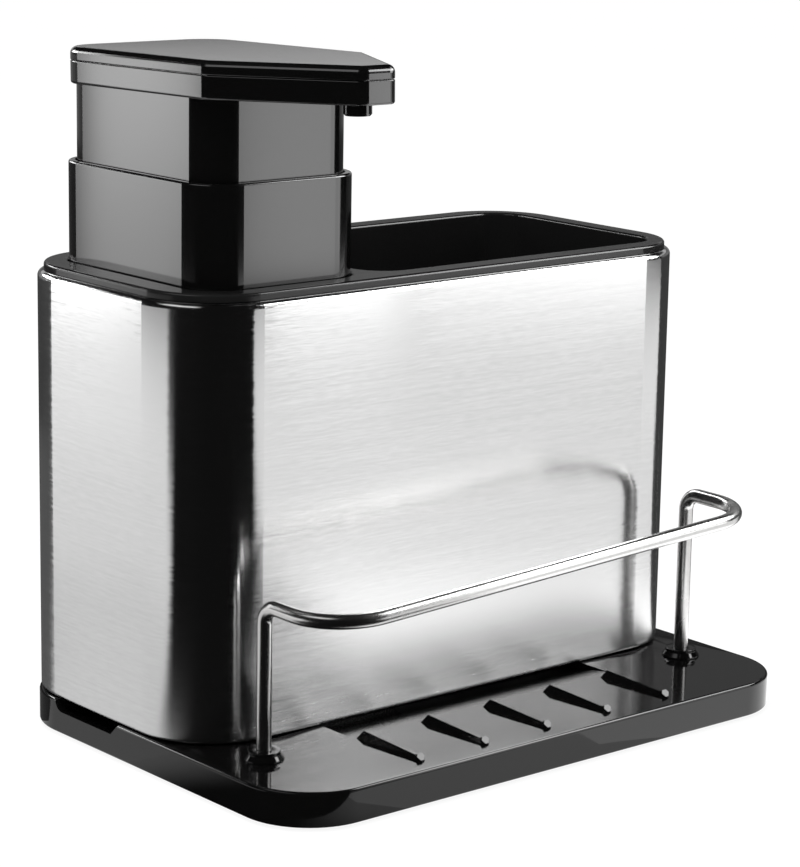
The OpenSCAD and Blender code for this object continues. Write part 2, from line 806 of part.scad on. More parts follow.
// Spring wire's section number i, as a ring of points, and the skin between the rings
function spring_ring(i, foot, rise) =
  let (a = i * full_turn / spring_rings,
       outward = [cos(a), sin(a), 0],
       centre = spring_radius * outward + [0, 0, foot + rise * i / (spring_rings * spring_turns)])
    [for (k = [0 : spring_sides - 1])
      let (b = k * full_turn / spring_sides)
        centre + spring_wire / 2 * (outward * cos(b) - [0, 0, sin(b)])];
function spring_skin(count) =
  [for (i = [0 : count - 1]) for (k = [0 : spring_sides - 1])
    let (a = i * spring_sides + k, b = i * spring_sides + (k + 1) % spring_sides)
      each [[a, a + spring_sides, b + spring_sides], [a, b + spring_sides, b]]];

module return_spring() {
  steps = spring_rings * spring_turns;
  foot = ledge + over + spring_wire / 2;
  rise = spring_top - foot - spring_wire / 2;
  ends = [for (k = [1 : spring_sides - 2]) [0, k, k + 1]];
  last = [for (k = [1 : spring_sides - 2]) steps * spring_sides * [1, 1, 1] + [0, k + 1, k]];
  color([0.70, 0.71, 0.73])
    at_pump()
      polyhedron(
        points = [for (i = [0 : steps]) each spring_ring(i, foot, rise)],
        faces = concat(spring_skin(steps), ends, last));
}

module piston_rod() {
  color([0.92, 0.92, 0.90])
    at_pump()
      difference() {
        union() {
          translate([0, 0, rod_bottom]) cylinder(h = rod_flange_height, r = rod_flange_radius);
          translate([0, 0, rod_bottom]) cylinder(h = seal_top + rod_grip - rod_bottom, r = rod_radius);
        }
        translate([0, 0, rod_flange_top])
          cylinder(h = seal_top + rod_grip - rod_flange_top + over, r = rod_bore);
        translate([-rod_radius - over, 0, rod_flange_top + rod_port_radius])
          rotate([0, quarter_turn, 0])
            cylinder(h = 2 * (rod_radius + over), r = rod_port_radius);
      }
}

module piston_seal() {
  groove = barrel_bore - shaft_gap - seal_lip / 2;
  color([0.30, 0.45, 0.62])
    at_pump()
      rotate_extrude()
        polygon([[rod_radius + shaft_gap, seal_bottom], [barrel_bore - shaft_gap, seal_bottom],
                 [barrel_bore - shaft_gap, seal_bottom + seal_lip], [groove, seal_bottom + 2 * seal_lip],
                 [groove, seal_top - 2 * seal_lip], [barrel_bore - shaft_gap, seal_top - seal_lip],
                 [barrel_bore - shaft_gap, seal_top], [rod_radius + shaft_gap, seal_top]]);
}

module pump_stem() {
  color([0.90, 0.90, 0.88])
    at_pump()
      translate([0, 0, seal_top])
        difference() {
          cylinder(h = stem_top - seal_top, r = stem_radius);
          translate([0, 0, -over]) cylinder(h = stem_top - seal_top + 2 * over, r = stem_bore);
        }
}

// Turns a piece of the head about the pump's axis, so that the spout rises to its tip
module risen() {
  translate([0, 0, head_bottom])
    rotate([-spout_rise, 0, 0])
      translate([0, 0, -head_bottom])
        children();
}

module pump_skirt() {
  outline = rectangle(bottle_length - 2 * skirt_inset, bottle_depth - 2 * skirt_inset);
  radii = alike(bottle_radius - skirt_inset);
  height = head_bottom - skirt_bottom;
  top_wall_bottom = head_bottom - skirt_slant - skirt_top_wall;
  color([0.11, 0.11, 0.12])
    at_pump()
      difference() {
        translate([0, 0, skirt_bottom]) block(outline, radii, height + skirt_slant, skirt_edge, 0);
        translate([0, 0, skirt_bottom - over])
          slab(outline, radii, top_wall_bottom - skirt_bottom + over, skirt_wall);
        translate([0, 0, top_wall_bottom - over])
          cylinder(h = head_bottom + skirt_slant - top_wall_bottom + 2 * over, r = socket_radius + lift_gap);
        risen()
          translate([-bottle_length / 2, -bottle_depth / 2, head_bottom])
            cube([bottle_length, bottle_depth, 2 * skirt_slant + over]);
      }
}

// Block on the head's tapered outline, drawn in by inset, with its edges rounded
module head_block(height, bottom_edge, top_edge, inset = 0) {
  hull()
    for (i = [0 : len(head_outline) - 1])
      translate(arc_centre(head_outline, head_radii, i))
        rotate_extrude($fn = head_facets)
          edge_strip(0, head_radii[i] - inset, height, bottom_edge, top_edge, $fn = blend_facets);
}

module head_shell() {
  color([0.13, 0.13, 0.14])
    at_pump()
      risen()
        difference() {
          translate([0, 0, head_bottom])
            head_block(head_height, head_bottom_edge, seam_edge);
          translate([0, 0, head_bottom + head_floor])
            head_block(head_height, 0, 0, head_wall);
          translate([0, 0, head_bottom - over])
            cylinder(h = head_floor + 2 * over, r = socket_radius + lift_gap);
          translate([0, nozzle_y, head_bottom - over])
            cylinder(h = head_floor + 2 * over, r = nozzle_neck_radius + seat_gap);
        }
}

module head_cap() {
  lip_inset = head_wall + seat_gap;
  color([0.14, 0.14, 0.15])
    at_pump()
      risen()
        difference() {
          union() {
            translate([0, 0, cap_bottom])
              head_block(cap_height, seam_edge, cap_edge);
            translate([0, 0, cap_bottom - cap_lip])
              head_block(cap_lip + over, 0, 0, lip_inset);
          }
          translate([0, 0, cap_bottom - cap_lip - over])
            head_block(cap_lip + cap_height - cap_plate + over, 0, 0, lip_inset + cap_lip_wall);
        }
}

// The duct rises with the spout, and only the bore for the stem stands upright
module spout_duct() {
  duct_height = duct_top - duct_bottom;
  color([0.60, 0.61, 0.62])
    at_pump()
      difference() {
        risen()
          difference() {
            union() {
              translate([0, 0, socket_foot]) cylinder(h = duct_top - socket_foot, r = socket_radius);
              translate([-duct_width / 2, nozzle_y - duct_width / 2, duct_bottom])
                cube([duct_width, duct_width / 2 - nozzle_y, duct_height]);
            }
            translate([0, 0, stem_top - over])
              cylinder(h = duct_height / 2 + over, r = duct_bore);
            translate([0, 0, duct_bottom + duct_height / 2])
              rotate([quarter_turn, 0, 0])
                cylinder(h = -nozzle_y, r = duct_bore);
            translate([0, nozzle_y, duct_bottom - over])
              cylinder(h = duct_height / 2 + over, r = duct_bore);
          }
        translate([0, 0, socket_foot - over])
          cylinder(h = stem_top - socket_foot + over, r = stem_radius + shaft_gap);
      }
}

module nozzle_tip() {
  color([0.08, 0.08, 0.09])
    at_pump()
      risen()
        translate([0, nozzle_y, 0])
          difference() {
            union() {
              translate([0, 0, head_bottom - nozzle_drop + nozzle_edge])
                cylinder(h = nozzle_drop - nozzle_edge, r = nozzle_diameter / 2);
              translate([0, 0, head_bottom - nozzle_drop])
                cylinder(h = nozzle_edge, r1 = nozzle_diameter / 2 - nozzle_edge, r2 = nozzle_diameter / 2);
              translate([0, 0, head_bottom])
                cylinder(h = duct_bottom - head_bottom, r = nozzle_neck_radius);
            }
            translate([0, 0, head_bottom - nozzle_drop - over])
              cylinder(h = duct_bottom - head_bottom + nozzle_drop + 2 * over, r = nozzle_bore);
          }
}

base_tray();
tray_feet();
guard_rail();
rail_ferrules();
steel_shell();
caddy_liner();
soap_bottle();
bottle_collar();
closure_ring();
closure_gasket();
pump_cylinder();
stem_guide();
dip_tube();
inlet_ball();
return_spring();
piston_rod();
piston_seal();
pump_stem();
pump_skirt();
head_shell();
head_cap();
spout_duct();
nozzle_tip();
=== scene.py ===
# %% [markdown]
# # A soap pump caddy with a drip tray
# The real object is a black plastic bin in a brushed steel shell. A bottle with a press-down pump stands in its left
# end, brushes and sponges in the well beside it. It sits on a glossy black tray that reaches out in front as a shelf,
# with a bent wire rail to hold things in.
#
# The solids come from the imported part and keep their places. Here they get their finishes, and the pieces that need
# finer shapes than the solids have are made again on the same sizes.

import math

import bmesh
import bpy
from mathutils import Matrix, Vector


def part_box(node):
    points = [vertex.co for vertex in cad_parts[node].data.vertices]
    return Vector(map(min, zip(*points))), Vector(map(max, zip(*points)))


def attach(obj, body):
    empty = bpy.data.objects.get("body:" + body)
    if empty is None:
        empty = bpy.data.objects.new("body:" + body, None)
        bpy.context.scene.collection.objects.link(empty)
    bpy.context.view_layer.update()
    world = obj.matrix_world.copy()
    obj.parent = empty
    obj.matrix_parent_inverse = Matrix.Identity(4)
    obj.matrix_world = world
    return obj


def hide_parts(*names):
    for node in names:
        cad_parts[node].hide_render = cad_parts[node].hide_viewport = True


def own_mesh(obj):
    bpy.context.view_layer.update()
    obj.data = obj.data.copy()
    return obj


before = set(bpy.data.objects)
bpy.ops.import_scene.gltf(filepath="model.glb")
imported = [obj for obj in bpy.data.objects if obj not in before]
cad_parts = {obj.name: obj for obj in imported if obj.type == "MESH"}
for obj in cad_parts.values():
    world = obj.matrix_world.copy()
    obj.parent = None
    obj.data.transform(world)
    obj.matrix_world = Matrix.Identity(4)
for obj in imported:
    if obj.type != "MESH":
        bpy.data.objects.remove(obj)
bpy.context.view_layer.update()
MM = 0.001

# %% [markdown]
# ## Camera
# The camera was solved from the picture's own edges: it stands 0.82 m away, looks down at 12.6 degrees, and sees the
# caddy from its front left corner. The lens is long, so the verticals stay nearly parallel. The small shift puts the
# optical axis where the picture has it.

# %% Camera
IMAGE_W, IMAGE_H = 800, 867
CAMERA_PLACE = Vector((-532.3, -622.4, 265.1)) * MM
CAMERA_YAW, CAMERA_PITCH, CAMERA_ROLL = -0.70813, 0.21936, 0.01847
FOCAL_PX, AXIS_PX = 2881.5, (413.1, 439.0)
SENSOR_MM = 36


def make_camera():
    right = Vector((math.cos(CAMERA_YAW), math.sin(CAMERA_YAW), 0))
    ahead = Vector((-math.sin(CAMERA_YAW) * math.cos(CAMERA_PITCH),
                    math.cos(CAMERA_YAW) * math.cos(CAMERA_PITCH), -math.sin(CAMERA_PITCH)))
    up = right.cross(ahead)
    c, s = math.cos(CAMERA_ROLL), math.sin(CAMERA_ROLL)
    right, up = c * right + s * up, c * up - s * right
    data = bpy.data.cameras.new("camera")
    data.sensor_width = SENSOR_MM
    data.lens = FOCAL_PX / IMAGE_H * SENSOR_MM
    data.shift_x = (IMAGE_W / 2 - AXIS_PX[0]) / IMAGE_H
    data.shift_y = (AXIS_PX[1] - IMAGE_H / 2) / IMAGE_H
    data.clip_start, data.clip_end = 0.05, 50
    camera = bpy.data.objects.new("camera", data)
    camera.matrix_world = Matrix((right, up, -ahead)).transposed().to_4x4()
    camera.location = CAMERA_PLACE
    bpy.context.scene.collection.objects.link(camera)
    bpy.context.scene.camera = camera
    bpy.context.scene.view_settings.view_transform = "Standard"
    print("lens", round(data.lens, 1), "mm")


make_camera()

# %% [markdown]
# ## Writing finishes as sums
# A finish is a tree of shader nodes. So that the maths reads as maths, a small class wraps a socket and adds a Math
# node for each operator. Every other node comes from one method that takes its type, its settings and its inputs.

# %% Shader helpers
class Value:
    """A socket that can be added to, multiplied and so on."""

    def __init__(self, nodes, socket):
        self.nodes, self.socket = nodes, socket

    def _maths(self, operation, other=0.0):
        return self.nodes.add("ShaderNodeMath", {"operation": operation}, {0: self, 1: other})

    def __add__(self, other):
        return self._maths("ADD", other)

    def __sub__(self, other):
        return self._maths("SUBTRACT", other)

    def __mul__(self, other):
        return self._maths("MULTIPLY", other)

    def __truediv__(self, other):
        return self._maths("DIVIDE", other)

    def __pow__(self, other):
        return self._maths("POWER", other)

    def most(self, other):
        return self._maths("MAXIMUM", other)

    def size(self):
        return self._maths("ABSOLUTE")

    def turn(self, x):
        """The direction, from 0 to 360 degrees, of a point at x across and at this value along y."""
        return (self._maths("ARCTAN2", x) * (180 / math.pi) + 360.0)._maths("MODULO", 360.0)

    def ramp(self, low, high, to_low=0.0, to_high=1.0):
        """Runs smoothly from to_low at low to to_high at high."""
        return self.nodes.add("ShaderNodeMapRange", {"interpolation_type": "SMOOTHSTEP"},
                              {"Value": self, "From Min": low, "From Max": high,
                               "To Min": to_low, "To Max": to_high})


class Nodes:
    """Adds nodes to one tree and links them."""

    def __init__(self, tree):
        self.tree = tree

    def add(self, kind, settings=None, inputs=None, out=0):
        node = self.tree.nodes.new(kind)
        for key, value in (settings or {}).items():
            setattr(node, key, value)
        for key, value in (inputs or {}).items():
            if isinstance(value, Value):
                self.tree.links.new(value.socket, node.inputs[key])
            else:
                node.inputs[key].default_value = value
        return Value(self, node.outputs[out] if len(node.outputs) else None)

    def axes(self):
        """Object coordinates along x, y and z, in metres."""
        place = self.add("ShaderNodeTexCoord", out="Object")
        split = self.add("ShaderNodeSeparateXYZ", None, {0: place}).socket.node
        return [Value(self, output) for output in split.outputs]


def socket_name(key):
    return key.replace("_", " ").title().replace("Ior", "IOR")


class Finish(Nodes):
    """A material on the Principled shader. Uniform sizes are set on its own sockets."""

    def __init__(self, name, **uniform):
        self.material = bpy.data.materials.new(name)
        self.material.use_nodes = True
        super().__init__(self.material.node_tree)
        self.shader = self.tree.nodes["Principled BSDF"]
        for key, value in uniform.items():
            self.shader.inputs[socket_name(key)].default_value = value

    def noise(self, scale, detail=2.0, shift=(0, 0, 0)):
        """Noise from 0 to 1 with so many grains to the metre along x, y and z."""
        coords = self.add("ShaderNodeTexCoord", out="Object")
        place = self.add("ShaderNodeMapping", None, {"Vector": coords, "Location": shift, "Scale": scale})
        return self.add("ShaderNodeTexNoise", None, {"Vector": place, "Scale": 1.0, "Detail": detail})

    def mix(self, mask, first, second):
        """Colour that runs from first to second as mask goes from 0 to 1."""
        return self.add("ShaderNodeMix", {"data_type": "RGBA"}, {0: mask, 6: first, 7: second}, out=2)

    def bump(self, height, distance, strength):
        return self.add("ShaderNodeBump", None, {"Height": height, "Distance": distance, "Strength": strength})

    def sideways(self, amount):
        """The normal, leaned along the scratches that run level round the piece."""
        normal = self.add("ShaderNodeNewGeometry", out="Normal")
        along = self.add("ShaderNodeVectorMath", {"operation": "CROSS_PRODUCT"}, {0: (0, 0, 1), 1: normal})
        lean = self.add("ShaderNodeVectorMath", {"operation": "SCALE"}, {0: along, "Scale": amount})
        total = self.add("ShaderNodeVectorMath", {"operation": "ADD"}, {0: normal, 1: lean})
        return self.add("ShaderNodeVectorMath", {"operation": "NORMALIZE"}, {0: total})

    def set(self, **links):
        for key, value in links.items():
            self.tree.links.new(value.socket, self.shader.inputs[socket_name(key)])


def tint(colour, share=1.0):
    """A colour made darker or lighter by a share, with full alpha."""
    return tuple(c * share for c in colour) + (1.0,)


def grey(value):
    return (value, value, value, 1.0)


# %% [markdown]
# ## Brushed steel
# The shell is stainless sheet rubbed along its length with a fine belt. The scratches run level round the bin, so a
# reflection smears up and down but hardly sideways. The shader's own anisotropy gives the smear. Streaks in the
# normal and in the roughness give the feathered edges that the reflections have. The belt has cut a little deeper
# towards the foot, where the shelf's reflection is hardly more than a shade.

# %% Steel finishes
DEEP_CUT_TO, EVEN_CUT_FROM = 12 * MM, 65 * MM
DEEP_ROUGHNESS, EVEN_ROUGHNESS = 0.24, 0.135
SCRATCH_LEAN, SCRATCH_ROUGHNESS, CLOUD_ROUGHNESS = 0.08, 0.02, 0.03
WIRE_GRAIN = 0.004 * MM


def brushed_steel():
    finish = Finish("brushed_steel", metallic=1.0, anisotropic=0.88, anisotropic_rotation=0.25)
    fine = finish.noise((220, 220, 2600))
    coarse = finish.noise((30, 30, 1200), shift=(3, 7, 11))
    cloud = finish.noise((14, 14, 10), shift=(1, 5, 2))
    streak = fine * 0.6 + coarse * 0.4
    height = finish.axes()[2]
    rubbed = height.ramp(DEEP_CUT_TO, EVEN_CUT_FROM, DEEP_ROUGHNESS, EVEN_ROUGHNESS)
    scratch = streak.ramp(0.25, 0.75, -SCRATCH_ROUGHNESS, SCRATCH_ROUGHNESS)
    finish.set(
        base_color=finish.mix(streak.ramp(0.25, 0.75), grey(0.70), grey(0.76)),
        roughness=rubbed + scratch + cloud * CLOUD_ROUGHNESS,
        normal=finish.sideways((streak - 0.5) * SCRATCH_LEAN))
    return finish.material


def polished_steel():
    finish = Finish("polished_steel", metallic=1.0)
    drawn = finish.noise((900, 900, 900))
    smear = finish.noise((60, 60, 60), detail=3.0, shift=(2, 2, 2))
    finish.set(
        base_color=finish.mix(drawn, tint((0.66, 0.655, 0.65)), tint((0.76, 0.755, 0.75))),
        roughness=smear.ramp(0.3, 0.7, 0.22, 0.28),
        normal=finish.bump(drawn, WIRE_GRAIN, 0.3))
    return finish.material


# %% [markdown]
# ## Plastics and rubber
# All the black pieces are moulded from the same kind of plastic, but the moulds are polished to different degrees:
# the tray is almost a mirror, the pump and the rim are a shade softer. A moulding is never quite even, so the gloss
# varies slowly over it, and a very shallow ripple bends its reflections. The tray has two marks of its own. A boss
# under the front left corner leaves a faint ring, and the drain under the caddy's front edge is satin.

# %% Plastic finishes
RIPPLE, RIPPLE_STRENGTH = 0.012 * MM, 0.6
SINK_X, SINK_Y = -79.5 * MM, -55.8 * MM
SINK_RADIUS, SINK_EDGE, SINK_DEPTH = 3.3 * MM, 0.6 * MM, 0.9
SATIN_HALF, SATIN_SIDE = 50 * MM, 1 * MM
SATIN_START, SATIN_FULL, SATIN_ROUGHNESS = -36.8 * MM, -32 * MM, 0.20


def sink_ring(finish):
    """Height of the ring that a boss under the surface leaves when the plastic cools."""
    x, y = finish.axes()[:2]
    dx, dy = x - SINK_X, y - SINK_Y
    return ((dx * dx + dy * dy) ** 0.5).ramp(SINK_RADIUS - SINK_EDGE, SINK_RADIUS, -SINK_DEPTH, 0.0)


def satin_drain(finish):
    """Roughness that the drain has on top of the tray's own."""
    x, y = finish.axes()[:2]
    across = x.size().ramp(SATIN_HALF, SATIN_HALF + SATIN_SIDE, 1.0, 0.0)
    return y.ramp(SATIN_START, SATIN_FULL, 0.0, SATIN_ROUGHNESS) * across


def black_plastic(name, shade, gloss, grain=0.0, coat=0.0, drip_tray=False):
    """Moulded black plastic. Grain is the height of fine specks as a share of the ripple, coat a clear lacquer."""
    finish = Finish(name, ior=1.5, coat_weight=coat, coat_roughness=gloss)
    drift = finish.noise((22, 22, 22))
    speck = finish.noise((2600, 2600, 2600), detail=1.0, shift=(4, 1, 9))
    height = drift + speck * grain
    rough = drift.ramp(0.25, 0.75, gloss * 0.85, gloss * 1.25) + speck.ramp(0.55, 0.8, 0.0, 0.05)
    if drip_tray:
        height = height + sink_ring(finish)
        rough = rough + satin_drain(finish)
    finish.set(
        base_color=finish.mix(drift, grey(shade * 0.85), grey(shade * 1.2)),
        roughness=rough,
        normal=finish.bump(height, RIPPLE, RIPPLE_STRENGTH))
    return finish.material


def natural_plastic(name, colour, roughness):
    """Unpigmented polypropylene: milky, softly lit from inside."""
    finish = Finish(name, ior=1.49, subsurface_weight=0.25, subsurface_scale=4 * MM)
    drift = finish.noise((60, 60, 60))
    finish.set(
        base_color=finish.mix(drift, tint(colour, 0.94), tint(colour)),
        roughness=drift.ramp(0.2, 0.8, roughness * 0.8, roughness * 1.2),
        normal=finish.bump(drift, 0.03 * MM, 0.3))
    return finish.material


def rubber(name, colour):
    finish = Finish(name, ior=1.5)
    grain = finish.noise((1500, 1500, 1500), detail=3.0)
    finish.set(
        base_color=finish.mix(grain, tint(colour, 0.8), tint(colour)),
        roughness=grain.ramp(0.2, 0.8, 0.55, 0.8),
        normal=finish.bump(grain, 0.04 * MM, 0.5))
    return finish.material


# %% [markdown]
# ## Which piece gets which finish
# What one sees is nearly all black plastic and steel. The pump's working parts are hidden: natural polypropylene,
# a blue seal and bright wire, as in any such pump. Each finish takes the place of the plain one in the solid's slot.

# %% Give every solid its finish
GLOSS_BLACK = 0.004

finishes = {
    "base_tray": black_plastic("tray_black", GLOSS_BLACK, 0.07, drip_tray=True),
    "tray_feet": rubber("foot_rubber", (0.03, 0.03, 0.032)),
    "guard_rail": polished_steel(),
    "rail_ferrules": black_plastic("ferrule_black", GLOSS_BLACK, 0.08),
    "steel_shell": brushed_steel(),
    "caddy_liner": black_plastic("liner_black", 0.014, 0.17, grain=0.05),
    "soap_bottle": black_plastic("bottle_smoke", 0.030, 0.20),
    "bottle_collar": black_plastic("collar_black", GLOSS_BLACK, 0.10, coat=1.0),
    "closure_ring": black_plastic("ring_black", 0.015, 0.30, grain=0.1),
    "closure_gasket": rubber("gasket_grey", (0.42, 0.42, 0.43)),
    "pump_cylinder": natural_plastic("cylinder_natural", (0.78, 0.78, 0.74), 0.35),
    "stem_guide": natural_plastic("guide_white", (0.84, 0.84, 0.82), 0.3),
    "dip_tube": natural_plastic("tube_natural", (0.80, 0.82, 0.82), 0.25),
    "inlet_ball": polished_steel(),
    "return_spring": polished_steel(),
    "piston_rod": natural_plastic("rod_white", (0.84, 0.84, 0.82), 0.3),
    "piston_seal": rubber("seal_blue", (0.12, 0.24, 0.42)),
    "pump_stem": natural_plastic("stem_white", (0.84, 0.84, 0.82), 0.25),
    "pump_skirt": black_plastic("skirt_black", GLOSS_BLACK, 0.10, coat=1.0),
    "head_shell": black_plastic("head_black", GLOSS_BLACK, 0.10, coat=1.0),
    "head_cap": black_plastic("cap_black", GLOSS_BLACK, 0.12, coat=1.0),
    "spout_duct": natural_plastic("duct_grey", (0.30, 0.30, 0.31), 0.35),
    "nozzle_tip": black_plastic("nozzle_black", GLOSS_BLACK, 0.10, coat=1.0),
}
for name, material in finishes.items():
    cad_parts[name].data.materials[0] = material
print(len(finishes), "solids finished")

# %% [markdown]
# ## Shapes from Geometry Nodes
# Three things on this object follow a rule: the rail follows a bent line, the spring a helix, and the fins repeat
# along the shelf. Each is a small Geometry Nodes tree with its sizes as named inputs, so a size can be changed
# without touching the maths. The finished shape is kept as a plain mesh and the tree is taken off again.

# %% Geometry Nodes helpers
def through_modifier(mesh, name, kind, settings, inputs=()):
    """Runs a mesh through one modifier and keeps the result as a plain mesh in its place."""
    worker = bpy.data.objects.new(name + "_worker", mesh)
    bpy.context.scene.collection.objects.link(worker)
    modifier = worker.modifiers.new(kind.lower(), kind)
    for key, value in settings.items():
        setattr(modifier, key, value)
    for identifier, value in inputs:
        modifier[identifier] = value
    evaluated = worker.evaluated_get(bpy.context.evaluated_depsgraph_get())
    result = bpy.data.meshes.new_from_object(evaluated)
    bpy.data.objects.remove(worker)
    bpy.data.meshes.remove(mesh)
    result.name = name
    return result


class Shape(Nodes):
    """A Geometry Nodes tree whose inputs are lengths in metres and counts."""

    def __init__(self, name, material, **sizes):
        super().__init__(bpy.data.node_groups.new(name, "GeometryNodeTree"))
        self.material, self.sizes = material, []
        sockets = self.tree.interface
        sockets.new_socket("Start", in_out="INPUT", socket_type="NodeSocketGeometry")
        for key, value in sizes.items():
            kind = "NodeSocketInt" if isinstance(value, int) else "NodeSocketFloat"
            socket = sockets.new_socket(key, in_out="INPUT", socket_type=kind)
            self.sizes.append((socket.identifier, value))
        sockets.new_socket("Shape", in_out="OUTPUT", socket_type="NodeSocketGeometry")
        self.start = self.given("Start")

    def given(self, name):
        return self.add("NodeGroupInput", out=name)

    def end(self, geometry, smooth=True):
        whole = self.add("GeometryNodeRealizeInstances", None, {"Geometry": geometry})
        shaded = self.add("GeometryNodeSetShadeSmooth", None, {"Geometry": whole, "Shade Smooth": smooth})
        painted = self.add("GeometryNodeSetMaterial", None, {"Geometry": shaded, "Material": self.material})
        self.add("NodeGroupOutput", None, {"Shape": painted})

    def build(self, name, corners, edges=(), faces=()):
        """Runs the tree on a start mesh and returns the result as a plain mesh."""
        start = bpy.data.meshes.new(name + "_start")
        start.from_pydata([Vector(c) for c in corners], edges, faces)
        return through_modifier(start, name, "NODES", {"node_group": self.tree}, self.sizes)


def finished_piece(name, mesh, body, node):
    """Puts a finished mesh in the scene, on the body and in the place and finish of its solid."""
    piece = bpy.data.objects.new(name, mesh)
    bpy.context.scene.collection.objects.link(piece)
    mesh.materials.clear()
    mesh.materials.append(finishes[node])
    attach(piece, body)
    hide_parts(node)
    print(name, len(mesh.polygons), "faces")
    return piece


# %% [markdown]
# ## Guard rail
# The rail is one piece of bright wire: up from the tray, forward, along the front, back and down again. Its front run
# climbs to the right. Six corner points give the line. The tree rounds the two post bends and the two wider front
# corners with their own radii, and sweeps a round section along it.

# %% Guard rail
WIRE, RAIL_RISE, POST_BEND, CORNER_BEND = 4.2 * MM, 7.8 * MM, 5 * MM, 17 * MM
WIRE_SIDES, BEND_STEPS = 32, 14


def wire_shape(material, corner_count):
    shape = Shape("bent_wire", material, Wire=WIRE, Post_bend=POST_BEND, Corner_bend=CORNER_BEND,
                  Sides=WIRE_SIDES, Bend_steps=BEND_STEPS)
    line = shape.add("GeometryNodeMeshToCurve", None, {"Mesh": shape.start})
    # From the middle of the line it is 0.5 to each front corner and 1.5 to each post bend.
    from_middle = (shape.add("GeometryNodeInputIndex") - (corner_count - 1) / 2).size()
    post, corner = shape.given("Post_bend"), shape.given("Corner_bend")
    bend = corner + (post - corner) * (from_middle - 0.5)
    rounded = shape.add("GeometryNodeFilletCurve", {"mode": "POLY"},
                        {"Curve": line, "Radius": bend, "Count": shape.given("Bend_steps")})
    section = shape.add("GeometryNodeCurvePrimitiveCircle", None,
                        {"Resolution": shape.given("Sides"), "Radius": shape.given("Wire") / 2})
    shape.end(shape.add("GeometryNodeCurveToMesh", None,
                        {"Curve": rounded, "Profile Curve": section, "Fill Caps": True}))
    return shape


(left, front, foot), (right, back, top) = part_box("guard_rail")
left, right = left + WIRE / 2, right - WIRE / 2
front, back, top = front + WIRE / 2, back - WIRE / 2, top - WIRE / 2
rail_line = [(left, back, foot), (left, back, top - RAIL_RISE), (left, front, top - RAIL_RISE),
             (right, front, top), (right, back, top), (right, back, foot)]
rail_edges = [(i, i + 1) for i in range(len(rail_line) - 1)]
rail_mesh = wire_shape(finishes["guard_rail"], len(rail_line)).build("guard_rail_wire", rail_line, rail_edges)
finished_piece("guard_rail_wire", rail_mesh, "tray", "guard_rail")

# %% [markdown]
# ## Return spring
# The spring is hidden round the piston rod. It is drawn as a true helix of 1 mm wire, one swept circle, on the same
# eight turns as the solid. Its foot stands on a ledge in the cylinder. In the pump it shortens by the stroke as the
# head goes down, but here it is drawn only at the solid's length.

# %% Return spring
SPRING_WIRE, SPRING_TURNS, PUMP_STROKE = 1.0 * MM, 8.0, 20 * MM
SPRING_STEPS, SPRING_SIDES = 40, 12


def spring_shape(material, radius, height):
    shape = Shape("coiled_wire", material, Wire=SPRING_WIRE, Radius=radius, Height=height,
                  Turns=SPRING_TURNS, Steps=SPRING_STEPS)
    coil = shape.add("GeometryNodeCurveSpiral", None,
                     {"Resolution": shape.given("Steps"), "Rotations": shape.given("Turns"),
                      "Start Radius": shape.given("Radius"), "End Radius": shape.given("Radius"),
                      "Height": shape.given("Height")})
    section = shape.add("GeometryNodeCurvePrimitiveCircle", None,
                        {"Resolution": SPRING_SIDES, "Radius": shape.given("Wire") / 2})
    shape.end(shape.add("GeometryNodeCurveToMesh", None,
                        {"Curve": coil, "Profile Curve": section, "Fill Caps": True}))
    return shape


low, high = (Vector(c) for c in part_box("return_spring"))
spring_radius, spring_height = (high.x - low.x - SPRING_WIRE) / 2, high.z - low.z - SPRING_WIRE
spring_middle = Vector(((low.x + high.x) / 2, (low.y + high.y) / 2, low.z + SPRING_WIRE / 2))
spring_mesh = spring_shape(finishes["return_spring"], spring_radius, spring_height).build(
    "return_spring_wire", [(0, 0, 0)])
spring_mesh.transform(Matrix.Translation(spring_middle))
spring = finished_piece("return_spring_wire", spring_mesh, "bottle", "return_spring")
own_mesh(spring)

# %% [markdown]
# ## Ferrules
# Each ferrule is a small moulded ring with a sloping side. Its section is turned round the post, and a Bevel modifier
# breaks the edges, because the edge highlights are all that one sees of it on the black tray.

# %% Ferrules
FERRULE_STEPS, FERRULE_EDGE, FERRULE_EDGE_STEPS = 64, 0.3 * MM, 3
WIRE_GAP, STEM_INSET, LIP_INSET, NECK_INSET = 0.05 * MM, 1.9 * MM, 1.4 * MM, 1.0 * MM
LIP_HEIGHT, BRIM_HEIGHT, NECK_HEIGHT = 1.0 * MM, 0.4 * MM, 0.9 * MM
SHELL_GAP = 0.3 * MM
SHARP_ANGLE = math.radians(30)
MERGE = 0.001 * MM


def mesh_of(made, name):
    """Turns a bmesh into a mesh and frees it."""
    mesh = bpy.data.meshes.new(name)
    made.to_mesh(mesh)
    made.free()
    return mesh


def turned(section, middles):
    """A closed section of (radius, height) turned once round an upright axis at each of the middles."""
    made = bmesh.new()
    for x, y in middles:
        ring = [made.verts.new((x + radius, y, z)) for radius, z in section]
        edges = [made.edges.new((ring[i - 1], ring[i])) for i in range(len(ring))]
        bmesh.ops.spin(made, geom=ring + edges, cent=(x, y, 0), axis=(0, 0, 1),
                       angle=2 * math.pi, steps=FERRULE_STEPS)
    bmesh.ops.remove_doubles(made, verts=made.verts, dist=MERGE)
    bmesh.ops.recalc_face_normals(made, faces=made.faces)
    return made


